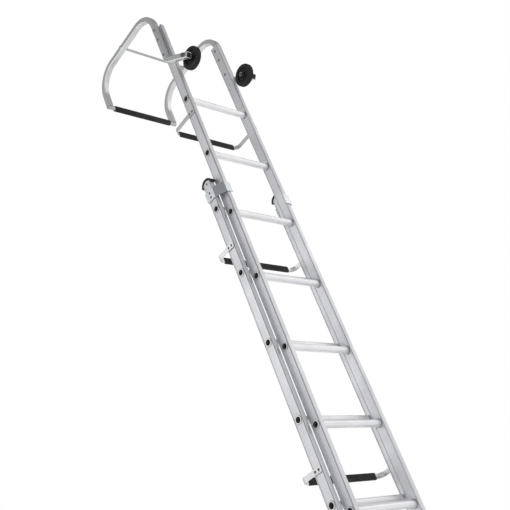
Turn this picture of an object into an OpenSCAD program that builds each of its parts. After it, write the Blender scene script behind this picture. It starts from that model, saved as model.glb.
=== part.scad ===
// Double-section roof ladder with a ridge hook, shown with the fly section closed on the base section.
// X runs across the ladder, +Y towards the roof and +Z up along the stiles.
// The origin is where the ridge bears: the middle of the hook's throat, at the underside of its top tubes.

/* [Sections] */
// Distance from rung to rung
rung_pitch = 280; // [260:5:300]
// Rungs in the fly section
fly_rungs = 10; // [8:1:11]
// Width of the fly section over its stiles
fly_w = 315; // [300:1:360]
// Distance that each base stile stands outside the fly stile
base_step = 26; // [24:1:32]
// How far the base's front stands ahead of the fly's back
section_lap = 5.5; // [2:0.5:8]
// Height of a base rung above the fly rung of the same level
rung_stagger = 36; // [32:1:50]
// Fly stile above its top rung
fly_head = 410; // [390:5:430]
// Fly stile below its lowest rung
fly_tail = 120; // [80:5:160]
// Base stile above its top rung
base_head = 129; // [115:1:160]
// Base stile below its lowest rung
base_tail = 150; // [80:5:220]

/* [Stiles] */
// Thickness of a stile, across the ladder
stile_t = 20; // [18:0.5:22]
// Depth of a stile, front to back
stile_d = 42.5; // [40:0.5:46]
// Radius of a stile's corners
stile_corner = 4; // [2.5:0.5:5]
// Flat rim between a corner and the recessed web
rim_flat = 0.5; // [0.2:0.1:1]
// Depth of the recess in a stile's web
web_recess = 1.5; // [0.8:0.1:2]
// Wall of the web
web_wall = 2; // [1.5:0.1:3]
// Wall of the front and back flanges
flange_wall = 2.5; // [1.5:0.1:3.5]

/* [Rungs] */
// Outer diameter of a rung
rung_d = 25; // [22:0.5:26]
// Wall of a rung
rung_wall = 2.5; // [2:0.1:4]
// How far the swaged lip and bead stand out around a rung
swage_h = 2.5; // [1.5:0.25:2.75]
// Thickness of the bead inside a stile
bead_t = 4; // [3:0.5:6]
// Flutes around a rung
flutes = 16; // [10:1:20]
// Depth of a flute
flute_depth = 0.7; // [0.4:0.1:1]
// Radius of a flute
flute_r = 1.2; // [1:0.1:1.6]

/* [Ridge hook] */
// Outer depth of the hook's square tube
tube_d = 24; // [22:0.5:28]
// Outer corner radius of the hook tube
tube_corner = 4; // [3:0.5:6]
// Wall of the hook tube
tube_wall = 2; // [1.5:0.1:2.8]
// Height of the hook's top run above the top rung
hook_rise = 509.5; // [490:0.5:540]
// Distance between the hook's leg and its foot leg
hook_reach = 405; // [370:1:450]
// Distance of the hook's leg behind the middle of the fly stile
leg_set_back = 3; // [0:0.5:4]
// Height of the foot bar above the top rung
foot_rise = 338; // [320:2:360]
// Bend radius at the foot end
rear_bend_r = 104; // [80:1:130]
// Bend radius over the stile
front_bend_r = 92; // [70:1:100]
// Height above the top rung where the leg bends to the wheel arm
arm_rise = 232; // [226:1:240]
// Bend radius of the wheel arm
arm_bend_r = 36; // [30:1:45]
// Distance of the wheel axle in front of the leg
axle_reach = 92; // [85:1:110]
// Tube beyond the axle
arm_tail = 22; // [16:1:30]
// Diameter of the foot bar
foot_bar_d = 18; // [15:0.5:20]
// Wall of the foot bar's sleeve
foot_sleeve_wall = 3.5; // [2:0.25:5]
// Diameter of the cross tie
tie_d = 10; // [9:0.5:14]
// Distance of the cross tie behind the leg
tie_reach = 212; // [150:2:280]

/* [Wheels] */
// Diameter of a wheel
wheel_d = 95; // [80:1:100]
// Width of a tyre
wheel_w = 22; // [16:0.5:24]
// Height of a tyre over its rim
tyre_h = 12; // [9:0.5:14]
// Length of the hub's boss
boss_l = 25; // [20:0.5:28]
// Distance of the wheel's middle inside the fly's outer face
wheel_inset = 22; // [20:1:32]
// Diameter of the axle bolt
axle_d = 10; // [8:0.5:12]

/* [Roof pads] */
// Width of the pad strip
pad_w = 18; // [16:1:30]
// Thickness of the pad strip
pad_t = 4; // [3:0.25:5]
// Inner bend radius of the pad strip
pad_bend_r = 18; // [12:1:24]
// Distance of the pad strip's middle behind the fly rungs
pad_reach = 114; // [106:1:130]
// Wall of a pad sleeve
sleeve_wall = 3; // [1.5:0.25:4]
// Fly pad below the top rung
fly_pad_drop = 77; // [60:1:140]
// Base pads below their rungs
base_pad_drop = 170; // [100:2:200]

/* [Guides, jaws and ends] */
// Height of a guide bracket
guide_h = 42; // [36:1:50]
// Thickness of a guide bracket
guide_t = 3; // [2:0.25:4]
// Guide bracket's top edge below the base stile's top
guide_drop = 46; // [36:1:50]
// Clearance of a guide bracket to the fly
guide_clear = 1.2; // [0.6:0.1:2]
// Thickness of a rung jaw
jaw_t = 6; // [4:0.5:8]
// Radius of the arched top of a base stile
arch_r = 22; // [21.5:0.5:30]
// Thickness of the band of a base top cap
cap_t = 8; // [4:0.5:10]
// Wall of a base foot
foot_wall = 3; // [2:0.25:4]
// Thickness of a base foot's sole
foot_sole = 14; // [8:1:20]
// Thickness of a fly end cap's head
end_cap_t = 6; // [4:0.5:10]

/* [Hidden] */
$fn = 48;

// Fits and margins
overrun = 1;
rivet_fit = 0.1;
swage_fit = 0.1;
plug_fit = 0.2;
seat_gap = 0.05;
axle_fit = 0.05;
running_gap = 0.3;

// Stile section
base_w = fly_w + 2 * base_step;
cavity_t = stile_t - 2 * (web_recess + web_wall);
cavity_d = stile_d - 2 * flange_wall;
cavity_corner = 1.5;
web_w = stile_d - 2 * (stile_corner + rim_flat);

// Levels, counted down from the fly's top rung; the base begins some levels lower and ends one lower
levels_skipped = 2;
base_levels = [for (level = [levels_skipped : fly_rungs]) level];
base_rungs = len(base_levels);
rung_bore = rung_d - 2 * rung_wall;
tube_z = tube_d / 2;
top_rung_z = tube_z - hook_rise;
leg_y = -hook_reach / 2;
fly_y = leg_y - leg_set_back;
base_y = fly_y + stile_d - section_lap;
fly_top_z = top_rung_z + fly_head;
fly_low_z = fly_rung_z(fly_rungs - 1) - fly_tail;
base_top_z = base_rung_z(0) + base_head;
base_low_z = base_rung_z(base_rungs - 1) - base_tail;

function fly_rung_z(i) = top_rung_z - i * rung_pitch;
function base_rung_z(i) = fly_rung_z(base_levels[i]) + rung_stagger;

// Fasteners
rivet_d = 6;
rivet_head_d = 12;
rivet_head_h = 3;
blind_d = 5;
blind_head_d = 10;
blind_head_h = 2.5;
blind_tail_d = 8;
blind_tail_h = 4;
cap_pin_d = 4;
cap_pin_head_d = 8;
cap_pin_head_h = 1.8;

// Ridge hook
tube_bore = tube_d - 2 * tube_wall;
tube_lap = 0.00001;
tube_x = fly_w / 2 - web_recess + tube_d / 2 + seat_gap;
hook_rear_y = leg_y + hook_reach;
foot_z = top_rung_z + foot_rise;
foot_lap_share = 0.25;
foot_cut_z = foot_z + foot_lap_share * foot_bar_d / 2;
rear_bend_z = tube_z - rear_bend_r;
front_bend_z = tube_z - front_bend_r;
arm_z = top_rung_z + arm_rise;
arm_forward_share = 0.8;
arm_down_share = 0.6;
arm_angle = atan2(arm_forward_share, arm_down_share);
arm_start_y = leg_y - arm_bend_r * (1 - arm_down_share);
arm_start_z = arm_z - arm_bend_r * arm_forward_share;
axle_y = leg_y - axle_reach;
arm_run = (arm_start_y - axle_y) / arm_forward_share;
axle_z = arm_start_z - arm_run * arm_down_share;
rim_mid_y = fly_y - (web_w + stile_d) / 4;
relief_z = arm_start_z - (arm_start_y - rim_mid_y) * arm_down_share / arm_forward_share;
relief_share = 1.6;
hook_rivet_shares = [0.86, 0.55, 0.06];
hook_rivet_zs = [for (s = hook_rivet_shares) arm_z + s * (fly_top_z - arm_z)];
tie_y = leg_y + tie_reach;
tie_bore = 6.2;
tie_bolt_d = 6;
tie_bolt_grip = 30;
tie_head_af = 11;
tie_head_h = 5;
foot_sleeve_inset = 10.5;

// Wheels
wheel_x = fly_w / 2 - wheel_inset;
rim_d = wheel_d - 2 * tyre_h;
tyre_round_share = 0.25;
rim_t = 5;
hub_web_t = 9;
ring_share = 0.62;
ring_t = 3;
ring_w = 13;
boss_d = 26;
spacer_d = 16;
nut_af = 16;
nut_h = 8;
axle_head_af = 16;
axle_head_h = 6;
axle_tip = 3;
plug_recess = 2;
plug_l = 14;

// Roof pads
pad_front_inset = 3;
pad_rivet_span_share = 0.4;
sleeve_corner = 3.5;
sleeve_play = 0.2;
fly_sleeve_end_gap = 2;
base_sleeve_end_gap = 10;
base_pad_rungs = [0, 3];

// Guides
guide_lip_over = 4;
guide_rivet_span_share = 0.45;
guide_top_z = base_top_z - guide_drop;
guide_mid_z = guide_top_z - guide_h / 2;

// Rung jaws
jaw_z = fly_rung_z(fly_rungs - 1) + rung_stagger;
jaw_over = 12;
jaw_hook = 9;
jaw_below = 14;
jaw_plate_up = 56;
jaw_bead_gap = 4;
jaw_plate_down = rung_stagger - rung_d / 2 - swage_h - jaw_bead_gap;
jaw_plate_front = 16;
jaw_corner = 4;
jaw_low_z = jaw_z - jaw_plate_down;
jaw_rivet_shares = [0.2, 0.8];

// Caps and feet
cap_proud = 0.6;
cap_lift = 5;
cap_plug_l = 26;
cap_pin_drop = 14;
foot_lap = 30;
foot_tread = 3;
foot_treads = 4;
foot_tread_share = 0.5;

// Sided pieces are drawn on the right, at positive X, and mirrored for the left
LEFT = -1;
RIGHT = 1;
SIDES = [LEFT, RIGHT];

module on_side(side) {
    mirror([side == LEFT ? 1 : 0, 0, 0])
        children();
}

// Shapes that several pieces share

module rounded_rect(w, d, r) {
    square([w - 2 * r, d], center = true);
    square([w, d - 2 * r], center = true);
    for (sx = [-1, 1], sy = [-1, 1])
        translate([sx * (w / 2 - r), sy * (d / 2 - r)])
            circle(r);
}

// A flat outline in Y and Z, extruded across the ladder from x
module across(x, t) {
    translate([x, 0, 0])
        rotate([90, 0, 90])
            linear_extrude(t)
                children();
}

// A round bar across the ladder from x0 to x1
module bar_x(x0, x1, y, z, d) {
    translate([x0, y, z])
        rotate([0, 90, 0])
            cylinder(d = d, h = x1 - x0);
}

module dome(d, h) {
    ball_r = (h * h + d * d / 4) / (2 * h);
    rotate_extrude()
        intersection() {
            translate([0, h - ball_r])
                circle(ball_r);
            square([d / 2, h]);
        }
}

// A rivet with its head outside at x_out and a tail inside at x_in
module rivet(x_in, x_out, y, z, d, head_d, head_h, tail_d, tail_h) {
    bar_x(x_in, x_out, y, z, d);
    translate([x_out, y, z])
        rotate([0, 90, 0])
            dome(head_d, head_h);
    translate([x_in, y, z])
        rotate([0, -90, 0])
            dome(tail_d, tail_h);
}

module through_rivet(x_in, x_out, y, z) {
    rivet(x_in, x_out, y, z, rivet_d, rivet_head_d, rivet_head_h, rivet_head_d, rivet_head_h);
}

module blind_rivet(x_in, x_out, y, z) {
    rivet(x_in, x_out, y, z, blind_d, blind_head_d, blind_head_h, blind_tail_d, blind_tail_h);
}

module hex_x(x0, x1, y, z, af) {
    translate([x0, y, z])
        rotate([0, 90, 0])
            cylinder(d = af / cos(30), h = x1 - x0, $fn = 6);
}

// Stiles

module stile_section() {
    difference() {
        rounded_rect(stile_t, stile_d, stile_corner);
        rounded_rect(cavity_t, cavity_d, cavity_corner);
        for (s = [-1, 1])
            translate([s * stile_t / 2, 0])
                square([2 * web_recess, web_w], center = true);
    }
}

module stile(outer_w, y, low_z, high_z) {
    translate([outer_w / 2 - stile_t / 2, y, low_z])
        linear_extrude(high_z - low_z)
            stile_section();
}

module rung_holes(outer_w, y, zs) {
    for (z = zs)
        bar_x(outer_w / 2 - stile_t - overrun, outer_w / 2 + overrun, y, z, rung_d + 2 * swage_fit);
}

// Rivet holes through the outer wall of a stile alone
module outer_wall_holes(outer_w, ys, zs, d) {
    for (y = ys, z = zs)
        bar_x(outer_w / 2 - stile_t / 2, outer_w / 2 + overrun, y, z, d + 2 * rivet_fit);
}

function pad_rivet_ys(y) = [for (s = [-1, 1]) y + s * pad_rivet_span_share * stile_d / 2];
function jaw_rivet_zs() = [for (s = jaw_rivet_shares) jaw_low_z + s * (jaw_plate_up + jaw_plate_down)];
function base_pad_z(i) = base_rung_z(base_pad_rungs[i]) - base_pad_drop;
function guide_rivet_zs() = [for (s = [-1, 1]) guide_mid_z + s * guide_rivet_span_share * guide_h / 2];
fly_pad_z = top_rung_z - fly_pad_drop;

// The front rim is cut back to the web where the wheel arm crosses it
module arm_relief() {
    relief_h = relief_share * tube_d;
    translate([fly_w / 2 - web_recess, fly_y - stile_d / 2 - overrun, relief_z - relief_h / 2])
        cube([web_recess + overrun, (stile_d - web_w) / 2 + 2 * overrun, relief_h]);
}

module fly_stile() {
    inner_x = fly_w / 2 - stile_t;
    color("gainsboro")
        difference() {
            stile(fly_w, fly_y, fly_low_z, fly_top_z);
            rung_holes(fly_w, fly_y, [for (i = [0 : fly_rungs - 1]) fly_rung_z(i)]);
            arm_relief();
            outer_wall_holes(fly_w, pad_rivet_ys(fly_y), [fly_pad_z], blind_d);
            for (z = hook_rivet_zs)
                bar_x(inner_x - overrun, fly_w / 2 + overrun, leg_y, z, rivet_d + 2 * rivet_fit);
            for (z = jaw_rivet_zs())
                bar_x(inner_x - overrun, inner_x + stile_t / 2, fly_y, z, blind_d + 2 * rivet_fit);
        }
}

// The round-topped limit of a base stile, or of its cap's band when grown
module arch(grow, w) {
    across(base_w / 2 - stile_t / 2 - w / 2, w)
        translate([base_y, base_top_z - arch_r])
            circle(arch_r + grow);
}

module base_stile() {
    shoulder_z = base_top_z - arch_r;
    color("gainsboro")
        difference() {
            union() {
                stile(base_w, base_y, base_low_z, shoulder_z);
                intersection() {
                    stile(base_w, base_y, shoulder_z, base_top_z);
                    arch(0, stile_t + 2 * overrun);
                }
            }
            rung_holes(base_w, base_y, [for (i = [0 : base_rungs - 1]) base_rung_z(i)]);
            outer_wall_holes(base_w, [base_y], guide_rivet_zs(), blind_d);
            outer_wall_holes(base_w, [base_y], [base_top_z - cap_pin_drop], cap_pin_d);
            outer_wall_holes(base_w, pad_rivet_ys(base_y), [base_pad_z(0), base_pad_z(1)], blind_d);
        }
}

// Rungs

module rung_section() {
    difference() {
        circle(d = rung_d);
        circle(d = rung_bore);
        for (i = [0 : flutes - 1])
            rotate(i * 360 / flutes)
                translate([rung_d / 2 + flute_r - flute_depth, 0])
                    circle(flute_r, $fn = 24);
    }
}

module rung(outer_w, y, z) {
    web_x = outer_w / 2 - web_recess;
    inner_x = outer_w / 2 - stile_t + web_recess;
    swage_d = rung_d + 2 * swage_h;
    color("whitesmoke")
        translate([0, y, z])
            rotate([0, 90, 0])
                difference() {
                    union() {
                        linear_extrude(2 * (inner_x - bead_t), center = true)
                            rung_section();
                        for (s = [0, 180])
                            rotate([0, s, 0]) {
                                translate([0, 0, inner_x - bead_t])
                                    cylinder(d = swage_d, h = bead_t);
                                translate([0, 0, inner_x])
                                    cylinder(d = rung_d, h = web_x - inner_x);
                                translate([0, 0, web_x])
                                    cylinder(d = swage_d, h = web_recess);
                            }
                    }
                    cylinder(d = rung_bore, h = outer_w + 2 * overrun, center = true);
                }
}

module fly_rung(i) {
    rung(fly_w, fly_y, fly_rung_z(i));
}

module base_rung(i) {
    rung(base_w, base_y, base_rung_z(i));
}

// Caps, feet and ends

module plug(outer_w, y, low_z, high_z) {
    translate([outer_w / 2 - stile_t / 2, y, low_z])
        linear_extrude(high_z - low_z)
            rounded_rect(cavity_t - 2 * plug_fit, cavity_d - 2 * plug_fit, cavity_corner);
}

module base_top_cap() {
    arch_z = base_top_z - arch_r;
    color("black")
        difference() {
            union() {
                intersection() {
                    difference() {
                        arch(cap_t, stile_t + 2 * overrun);
                        arch(seat_gap, stile_t + 4 * overrun);
                    }
                    translate([base_w / 2 - stile_t / 2, base_y, arch_z + cap_lift])
                        linear_extrude(arch_r + cap_t)
                            square([stile_t + 2 * cap_proud, 2 * (arch_r + cap_t)], center = true);
                }
                intersection() {
                    plug(base_w, base_y, base_top_z - cap_plug_l, base_top_z + cap_t);
                    arch(cap_t / 2, stile_t);
                }
            }
            bar_x(base_w / 2 - stile_t, base_w / 2 + overrun, base_y, base_top_z - cap_pin_drop,
                  cap_pin_d + 2 * rivet_fit);
        }
}

module cap_rivets() {
    color("silver")
        for (side = SIDES)
            on_side(side)
                rivet(base_w / 2 - stile_t / 2, base_w / 2 - web_recess, base_y, base_top_z - cap_pin_drop,
                      cap_pin_d, cap_pin_head_d, cap_pin_head_h, cap_pin_d, cap_pin_head_h);
}

module base_foot() {
    boot_t = stile_t + 2 * (plug_fit + foot_wall);
    boot_d = stile_d + 2 * (plug_fit + foot_wall);
    boot_corner = stile_corner + plug_fit + foot_wall;
    groove_step = boot_d / (foot_treads + 1);
    groove_w = foot_tread_share * groove_step;
    color("dimgray")
        translate([base_w / 2 - stile_t / 2, base_y, base_low_z])
            difference() {
                translate([0, 0, -foot_sole])
                    linear_extrude(foot_sole + foot_lap)
                        rounded_rect(boot_t, boot_d, boot_corner);
                linear_extrude(foot_lap + overrun)
                    rounded_rect(stile_t + 2 * plug_fit, stile_d + 2 * plug_fit, stile_corner);
                for (i = [1 : foot_treads])
                    translate([0, -boot_d / 2 + i * groove_step, -foot_sole])
                        cube([boot_t + overrun, groove_w, 2 * foot_tread], center = true);
            }
}

module fly_end_cap() {
    color("black") {
        translate([fly_w / 2 - stile_t / 2, fly_y, fly_low_z - end_cap_t])
            linear_extrude(end_cap_t)
                rounded_rect(stile_t, stile_d, stile_corner);
        plug(fly_w, fly_y, fly_low_z - end_cap_t, fly_low_z + cap_plug_l);
    }
}

// Guide brackets: a folded strip, clamped round the base stile and reaching over the fly's front

module strip(points, t) {
    for (i = [0 : len(points) - 2]) {
        step = points[i + 1] - points[i];
        translate(points[i])
            rotate(atan2(step[1], step[0]))
                translate([0, -t / 2])
                    square([norm(step), t]);
    }
    for (i = [1 : len(points) - 2])
        translate(points[i])
            circle(d = t);
}

module guide_bracket() {
    side_x = base_w / 2 + guide_t / 2;
    back_y = base_y + stile_d / 2 + guide_t / 2;
    front_y = fly_y - stile_d / 2 - guide_clear - guide_t / 2;
    fly_side_x = fly_w / 2 + guide_clear + guide_t / 2;
    path = [
        [base_w / 2 - stile_t, back_y],
        [side_x, back_y],
        [side_x, base_y - stile_d / 2],
        [fly_side_x, front_y],
        [fly_w / 2 - stile_t - guide_lip_over, front_y],
    ];
    color("darkgray")
        difference() {
            translate([0, 0, guide_top_z - guide_h])
                linear_extrude(guide_h)
                    strip(path, guide_t);
            for (z = guide_rivet_zs())
                bar_x(base_w / 2 - overrun, base_w / 2 + guide_t + overrun, base_y, z,
                      blind_d + 2 * rivet_fit);
        }
}

module guide_rivets() {
    color("silver")
        for (side = SIDES, z = guide_rivet_zs())
            on_side(side)
                blind_rivet(base_w / 2 - web_recess - web_wall, base_w / 2 + guide_t, base_y, z);
}

// Roof pads: a strip bent to a U outside the stiles, with a sleeve on its cross run

function pad_run_half(outer_w) = outer_w / 2 - pad_bend_r;

module pad_bar(outer_w, y, z) {
    bend_y = fly_y + pad_reach - pad_t / 2 - pad_bend_r;
    front_y = y - stile_d / 2 + pad_front_inset;
    color("lightgray")
        difference() {
            translate([0, 0, z - pad_w / 2]) {
                for (side = SIDES)
                    on_side(side) {
                        translate([outer_w / 2, front_y, 0])
                            cube([pad_t, bend_y - front_y, pad_w]);
                        translate([pad_run_half(outer_w), bend_y, 0])
                            rotate_extrude(angle = 90)
                                translate([pad_bend_r, 0])
                                    square([pad_t, pad_w]);
                    }
                translate([-pad_run_half(outer_w), bend_y + pad_bend_r, 0])
                    cube([2 * pad_run_half(outer_w), pad_t, pad_w]);
            }
            for (rivet_y = pad_rivet_ys(y))
                bar_x(-outer_w / 2 - pad_t - overrun, outer_w / 2 + pad_t + overrun, rivet_y, z,
                      blind_d + 2 * rivet_fit);
        }
}

module pad_sleeve(outer_w, z, end_gap) {
    hole_w = pad_w + 2 * sleeve_play;
    hole_t = pad_t + 2 * sleeve_play;
    half_l = pad_run_half(outer_w) - end_gap;
    color("black")
        translate([0, fly_y + pad_reach, z])
            across(-half_l, 2 * half_l)
                difference() {
                    rounded_rect(hole_t + 2 * sleeve_wall, hole_w + 2 * sleeve_wall, sleeve_corner);
                    square([hole_t, hole_w], center = true);
                }
}

module pad_rivets(outer_w, y, zs) {
    color("silver")
        for (side = SIDES, rivet_y = pad_rivet_ys(y), z = zs)
            on_side(side)
                blind_rivet(outer_w / 2 - web_recess - web_wall, outer_w / 2 + pad_t, rivet_y, z);
}

module fly_pad_bar() {
    pad_bar(fly_w, fly_y, fly_pad_z);
}

module fly_pad_sleeve() {
    pad_sleeve(fly_w, fly_pad_z, fly_sleeve_end_gap);
}

module fly_pad_rivets() {
    pad_rivets(fly_w, fly_y, [fly_pad_z]);
}

module base_pad_bar(i) {
    pad_bar(base_w, base_y, base_pad_z(i));
}

module base_pad_sleeve(i) {
    pad_sleeve(base_w, base_pad_z(i), base_sleeve_end_gap);
}

module base_pad_rivets() {
    pad_rivets(base_w, base_y, [base_pad_z(0), base_pad_z(1)]);
}

// Rung jaws at the fly's lower end: the notch sits over a base rung and keeps it from moving to the rear

module jaw_outline() {
    notch_r = rung_d / 2 + running_gap;
    back_y = base_y + notch_r + jaw_hook;
    difference() {
        union() {
            translate([fly_y - jaw_plate_front, jaw_low_z])
                square([jaw_plate_front + stile_d / 2, jaw_plate_up + jaw_plate_down]);
            translate([fly_y, jaw_z - jaw_below])
                square([back_y - fly_y, jaw_below + notch_r + jaw_over - jaw_corner]);
            translate([fly_y, jaw_z])
                square([back_y - fly_y - jaw_corner, notch_r + jaw_over]);
            translate([back_y - jaw_corner, jaw_z + notch_r + jaw_over - jaw_corner])
                circle(jaw_corner);
        }
        translate([base_y, jaw_z])
            circle(notch_r);
        translate([base_y - notch_r, jaw_z - jaw_below - overrun])
            square([2 * notch_r, jaw_below + overrun]);
    }
}

module rung_jaw() {
    color("silver")
        difference() {
            across(fly_w / 2 - stile_t - jaw_t, jaw_t)
                jaw_outline();
            for (z = jaw_rivet_zs())
                bar_x(fly_w / 2 - stile_t - jaw_t - overrun, fly_w / 2 - stile_t + overrun, fly_y, z,
                      blind_d + 2 * rivet_fit);
        }
}

// The head is on the jaw and the tail is in the stile, so the rivet is drawn facing inwards
module jaw_rivets() {
    face_x = stile_t - fly_w / 2;
    color("silver")
        for (side = SIDES, z = jaw_rivet_zs())
            on_side(side)
                mirror([1, 0, 0])
                    blind_rivet(face_x - web_recess - web_wall, face_x + jaw_t, fly_y, z);
}

// Ridge hook

module tube_section() {
    difference() {
        rounded_rect(tube_d, tube_d, tube_corner);
        rounded_rect(tube_bore, tube_bore, tube_corner - tube_wall);
    }
}

module tube_run(l) {
    linear_extrude(l)
        tube_section();
}

// A quarter bend in Y and Z
module tube_bend(r, start) {
    rotate([90, 0, 90])
        rotate(start)
            rotate_extrude(angle = 90)
                translate([r, 0])
                    tube_section();
}

// The bend to the wheel arm, cut from a whole ring between the leg's end and the arm's start
module arm_bend() {
    cut_l = 2 * (arm_bend_r + tube_d);
    rotate([90, 0, 90])
        intersection() {
            rotate_extrude()
                translate([arm_bend_r, 0])
                    tube_section();
            linear_extrude(2 * tube_d, center = true)
                polygon([[0, 0], [cut_l, 0], [cut_l, -cut_l],
                         [cut_l * arm_down_share, -cut_l * arm_forward_share]]);
        }
}

// Moves to a distance along the wheel arm's straight run, with +Z along it
module along_arm(distance) {
    translate([tube_x, arm_start_y, arm_start_z])
        rotate([180 - arm_angle, 0, 0])
            translate([0, 0, distance])
                children();
}

// One bent tube: each straight run laps a little into the bends beside it
module hook_tube() {
    top_run = hook_reach - rear_bend_r - front_bend_r;
    color("gainsboro")
        difference() {
            union() {
                translate([tube_x, hook_rear_y, foot_cut_z])
                    tube_run(rear_bend_z - foot_cut_z + tube_lap);
                translate([tube_x, hook_rear_y - rear_bend_r, rear_bend_z])
                    tube_bend(rear_bend_r, 0);
                translate([tube_x, leg_y + front_bend_r - tube_lap, tube_z])
                    rotate([-90, 0, 0])
                        tube_run(top_run + 2 * tube_lap);
                translate([tube_x, leg_y + front_bend_r, front_bend_z])
                    tube_bend(front_bend_r, 90);
                translate([tube_x, leg_y, arm_z - tube_lap])
                    tube_run(front_bend_z - arm_z + 2 * tube_lap);
                translate([tube_x, leg_y - arm_bend_r, arm_z])
                    arm_bend();
                along_arm(-tube_lap)
                    tube_run(arm_run + arm_tail + tube_lap);
            }
            for (z = hook_rivet_zs)
                bar_x(tube_x - tube_d, tube_x + tube_d, leg_y, z, rivet_d + 2 * rivet_fit);
            bar_x(tube_x - tube_d, tube_x + tube_d, tie_y, tube_z, tie_bolt_d + 2 * rivet_fit);
            bar_x(tube_x - tube_d, tube_x + tube_d, axle_y, axle_z, axle_d + 2 * rivet_fit);
            bar_x(tube_x - tube_d, tube_x + tube_d, hook_rear_y, foot_z, foot_bar_d + 2 * seat_gap);
        }
}

module hook_rivets() {
    color("silver")
        for (side = SIDES, z = hook_rivet_zs)
            on_side(side)
                through_rivet(fly_w / 2 - stile_t + web_recess, tube_x + tube_d / 2, leg_y, z);
}

module hook_tie() {
    half_l = tube_x - tube_d / 2;
    color("lightgray")
        difference() {
            bar_x(-half_l, half_l, tie_y, tube_z, tie_d);
            bar_x(-half_l - overrun, half_l + overrun, tie_y, tube_z, tie_bore);
        }
}

module hook_tie_bolts() {
    head_x = tube_x + tube_d / 2;
    color("dimgray")
        for (side = SIDES)
            on_side(side) {
                bar_x(tube_x - tube_d / 2 - tie_bolt_grip, head_x, tie_y, tube_z, tie_bolt_d);
                hex_x(head_x, head_x + tie_head_h, tie_y, tube_z, tie_head_af);
            }
}

module hook_foot_bar() {
    half_l = tube_x + tube_d / 2;
    color("gainsboro")
        bar_x(-half_l, half_l, hook_rear_y, foot_z, foot_bar_d);
}

module hook_foot_sleeve() {
    half_l = fly_w / 2 - foot_sleeve_inset;
    color("black")
        difference() {
            bar_x(-half_l, half_l, hook_rear_y, foot_z, foot_bar_d + 2 * foot_sleeve_wall);
            bar_x(-half_l - overrun, half_l + overrun, hook_rear_y, foot_z, foot_bar_d + 2 * sleeve_play);
        }
}

// Wheel arms, axles and wheels

module arm_plugs() {
    plug_side = tube_bore - 2 * plug_fit;
    color("black")
        for (side = SIDES)
            on_side(side)
                along_arm(arm_run + arm_tail - plug_recess - plug_l)
                    linear_extrude(plug_l)
                        rounded_rect(plug_side, plug_side, tube_corner - tube_wall);
}

boss_out_x = wheel_x + boss_l / 2;
boss_in_x = wheel_x - boss_l / 2;
nut_out_x = boss_in_x - running_gap;
nut_in_x = nut_out_x - nut_h;

module axle_bolts() {
    head_x = tube_x + tube_d / 2;
    color("dimgray")
        for (side = SIDES)
            on_side(side) {
                bar_x(nut_in_x - axle_tip, head_x, axle_y, axle_z, axle_d);
                hex_x(head_x, head_x + axle_head_h, axle_y, axle_z, axle_head_af);
            }
}

module axle_spacers() {
    color("black")
        for (side = SIDES)
            on_side(side)
                difference() {
                    bar_x(boss_out_x + running_gap, tube_x - tube_d / 2, axle_y, axle_z, spacer_d);
                    bar_x(boss_out_x, tube_x, axle_y, axle_z, axle_d + 2 * rivet_fit);
                }
}

module axle_nuts() {
    color("silver")
        for (side = SIDES)
            on_side(side)
                difference() {
                    hex_x(nut_in_x, nut_out_x, axle_y, axle_z, nut_af);
                    bar_x(nut_in_x - overrun, nut_out_x + overrun, axle_y, axle_z, axle_d + 2 * axle_fit);
                }
}

// Moves to a wheel's middle, with +Z along its axle
module at_wheel() {
    translate([wheel_x, axle_y, axle_z])
        rotate([0, 90, 0])
            children();
}

module hub_ring(r, t, w) {
    difference() {
        cylinder(r = r, h = w, center = true);
        cylinder(r = r - t, h = w + overrun, center = true);
    }
}

module wheel_hub() {
    rim_w = wheel_w - 2 * overrun;
    hub_r = rim_d / 2 - seat_gap;
    color("black")
        at_wheel()
            difference() {
                union() {
                    hub_ring(hub_r, rim_t, rim_w);
                    hub_ring(ring_share * hub_r, ring_t, ring_w);
                    cylinder(r = hub_r - rim_t / 2, h = hub_web_t, center = true);
                    cylinder(d = boss_d, h = boss_l, center = true);
                }
                cylinder(d = axle_d + 2 * axle_fit, h = boss_l + overrun, center = true);
            }
}

module wheel_tyre() {
    color("dimgray")
        at_wheel()
            rotate_extrude($fn = 96)
                translate([rim_d / 2 + tyre_h / 2, 0])
                    rounded_rect(tyre_h, wheel_w, tyre_round_share * tyre_h);
}

on_side(LEFT) base_stile();  // base_stile_left
on_side(RIGHT) base_stile();  // base_stile_right
for (i = [0 : base_rungs - 1])
    base_rung(i);
on_side(LEFT) base_top_cap();  // base_top_cap_left
on_side(RIGHT) base_top_cap();  // base_top_cap_right
cap_rivets();
on_side(LEFT) base_foot();  // base_foot_left
on_side(RIGHT) base_foot();  // base_foot_right
on_side(LEFT) guide_bracket();  // guide_bracket_left
on_side(RIGHT) guide_bracket();  // guide_bracket_right
guide_rivets();
base_pad_bar(0);  // base_pad_bar_upper
base_pad_bar(1);  // base_pad_bar_lower
base_pad_sleeve(0);  // base_pad_sleeve_upper
base_pad_sleeve(1);  // base_pad_sleeve_lower
base_pad_rivets();
on_side(LEFT) fly_stile();  // fly_stile_left
on_side(RIGHT) fly_stile();  // fly_stile_right
for (i = [0 : fly_rungs - 1])
    fly_rung(i);
on_side(LEFT) fly_end_cap();  // fly_end_cap_left
on_side(RIGHT) fly_end_cap();  // fly_end_cap_right
on_side(LEFT) rung_jaw();  // rung_jaw_left
on_side(RIGHT) rung_jaw();  // rung_jaw_right
jaw_rivets();
on_side(LEFT) hook_tube();  // hook_tube_left
on_side(RIGHT) hook_tube();  // hook_tube_right
hook_rivets();
hook_tie();
hook_tie_bolts();
hook_foot_bar();
hook_foot_sleeve();
arm_plugs();
axle_bolts();
axle_spacers();
axle_nuts();
fly_pad_bar();
fly_pad_sleeve();
fly_pad_rivets();
on_side(LEFT) wheel_hub();  // wheel_hub_left
on_side(RIGHT) wheel_hub();  // wheel_hub_right
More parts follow.
